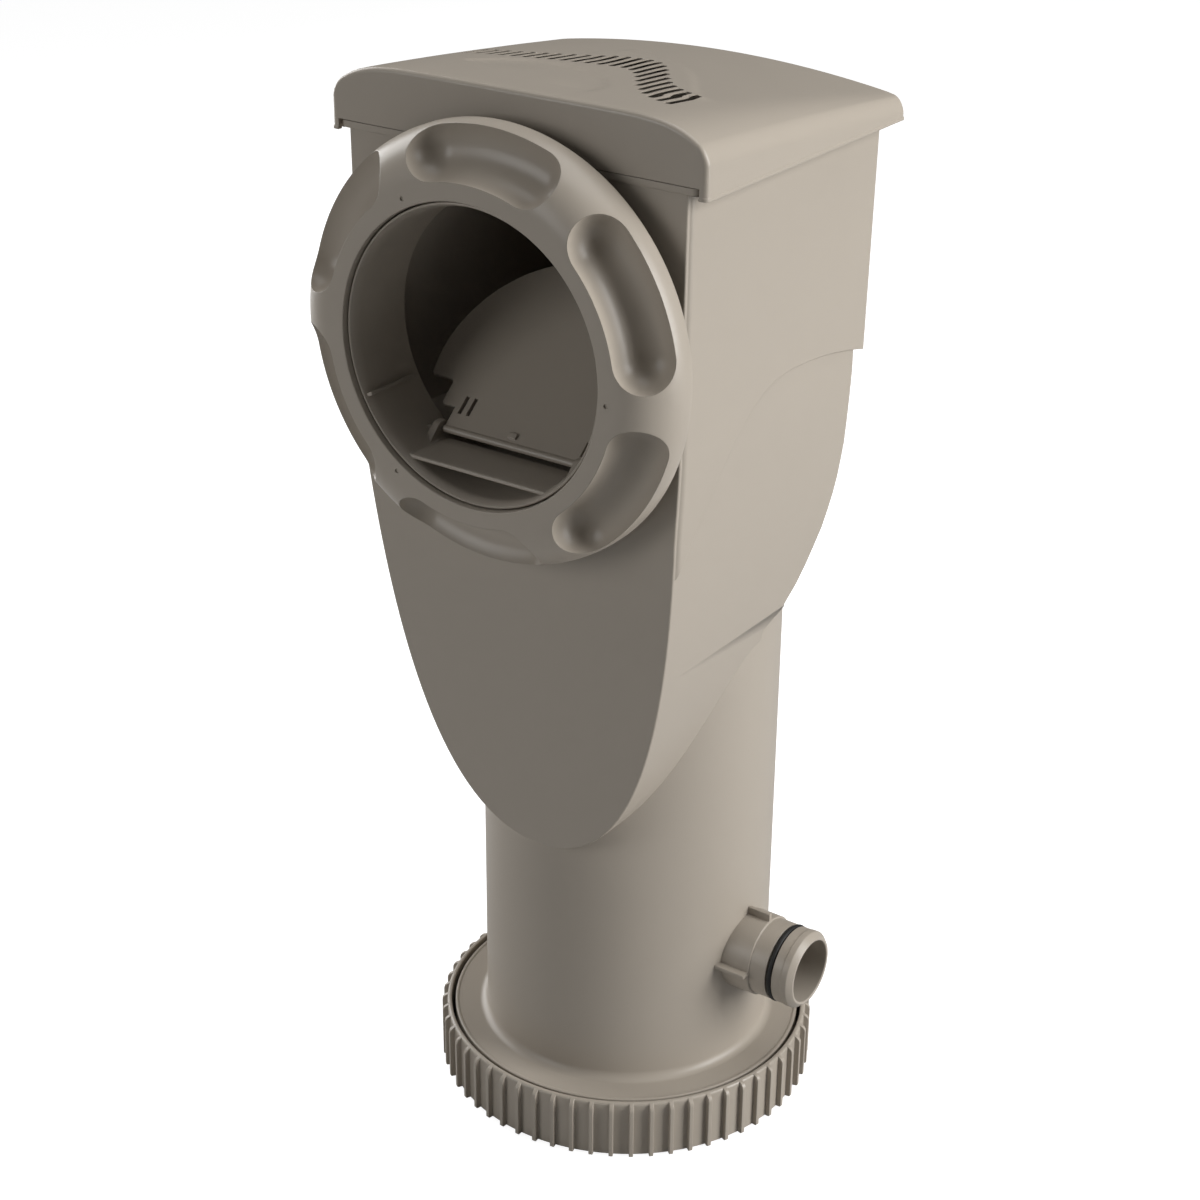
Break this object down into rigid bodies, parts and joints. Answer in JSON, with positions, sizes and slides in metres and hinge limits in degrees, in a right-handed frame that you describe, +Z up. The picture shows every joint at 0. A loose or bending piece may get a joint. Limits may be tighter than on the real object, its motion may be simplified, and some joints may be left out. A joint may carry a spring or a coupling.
{
  "type": "pool_skimmer_filter_pump",
  "caption": "Pool skimming filter pump: vented box with a round inlet and scooped hand nut on a tapering front, over a filter tube with side spigot and ribbed base ring",
  "frame": {"origin": "centre of the base's standing face, on the axis of the filter tube", "axes": "+Z up along the tube, the inlet and its nut face -Y, the outlet spigot points along +X"},
  "size_m": [0.2264, 0.2461, 0.5819],
  "materials": {
    "shell": "matte",
    "shell_loose": "matte",
    "inner_plastic": "matte",
    "pale_plastic": "satin",
    "seal": "matte",
    "steel": "brushed",
    "magnet": "matte",
    "copper": "satin",
    "media": "matte"
  },
  "bodies": {
    "shell": {"skimmer_box": "shell", "filter_tube": "shell", "tube_flange": "shell", "inlet_throat": "shell", "weir_pin": "steel", "wall_gasket": "seal", "outlet_spigot": "shell", "outlet_o_ring": "seal", "base_seal": "seal", "motor_base": "inner_plastic", "base_screws": "steel", "cord_gland": "seal", "motor_can": "inner_plastic", "stator_core": "steel", "coil_windings": "copper", "lower_bush": "inner_plastic", "thrust_washer": "steel", "bearing_plate": "inner_plastic", "upper_bush": "inner_plastic", "volute": "inner_plastic", "volute_seal": "seal", "volute_screws": "steel", "cartridge_bottom_cap": "seal", "cartridge_core": "pale_plastic", "cartridge_media": "media", "cartridge_top_cap": "seal", "basket": "inner_plastic"},
    "washer": {"slip_washer": "inner_plastic"},
    "nut": {"flange_nut": "shell_loose"},
    "weir": {"weir_door": "shell_loose"},
    "cover": {"lid": "shell_loose"},
    "bail": {"basket_handle": "inner_plastic"},
    "base_ring": {"lock_ring": "shell_loose"},
    "rotor": {"rotor_magnet": "magnet", "pump_shaft": "steel", "impeller": "pale_plastic"}
  },
  "joints": [
    {"name": "nut_travel", "type": "slide", "parent": "shell", "child": "washer", "axis": [0, -1, 0], "range_m": [0, 0.012]},
    {"name": "nut_turn", "type": "hinge", "parent": "washer", "child": "nut", "pos_m": [0, -0.125, 0.464], "axis": [0, -1, 0], "range_deg": [0, 720]},
    {"name": "weir_swing", "type": "hinge", "parent": "shell", "child": "weir", "pos_m": [0, -0.1073, 0.4113], "axis": [1, 0, 0], "range_deg": [-34, 56]},
    {"name": "lid_lift", "type": "slide", "parent": "shell", "child": "cover", "axis": [0, 0, 1], "range_m": [0, 0.15]},
    {"name": "basket_handle_swing", "type": "hinge", "parent": "shell", "child": "bail", "pos_m": [0, 0.0015, 0.404], "axis": [1, 0, 0], "range_deg": [0, 90]},
    {"name": "lock_ring_turn", "type": "hinge", "parent": "shell", "child": "base_ring", "pos_m": [0, 0, 0.018], "axis": [0, 0, -1], "range_deg": [0, 60]},
    {"name": "rotor_spin", "type": "hinge", "parent": "shell", "child": "rotor", "pos_m": [0, 0, 0.06], "axis": [0, 0, 1], "continuous": true}
  ],
  "couplings": [
    {"joint": "nut_travel", "follows": "nut_turn", "m_per_rad": 0.00095493}
  ]
}
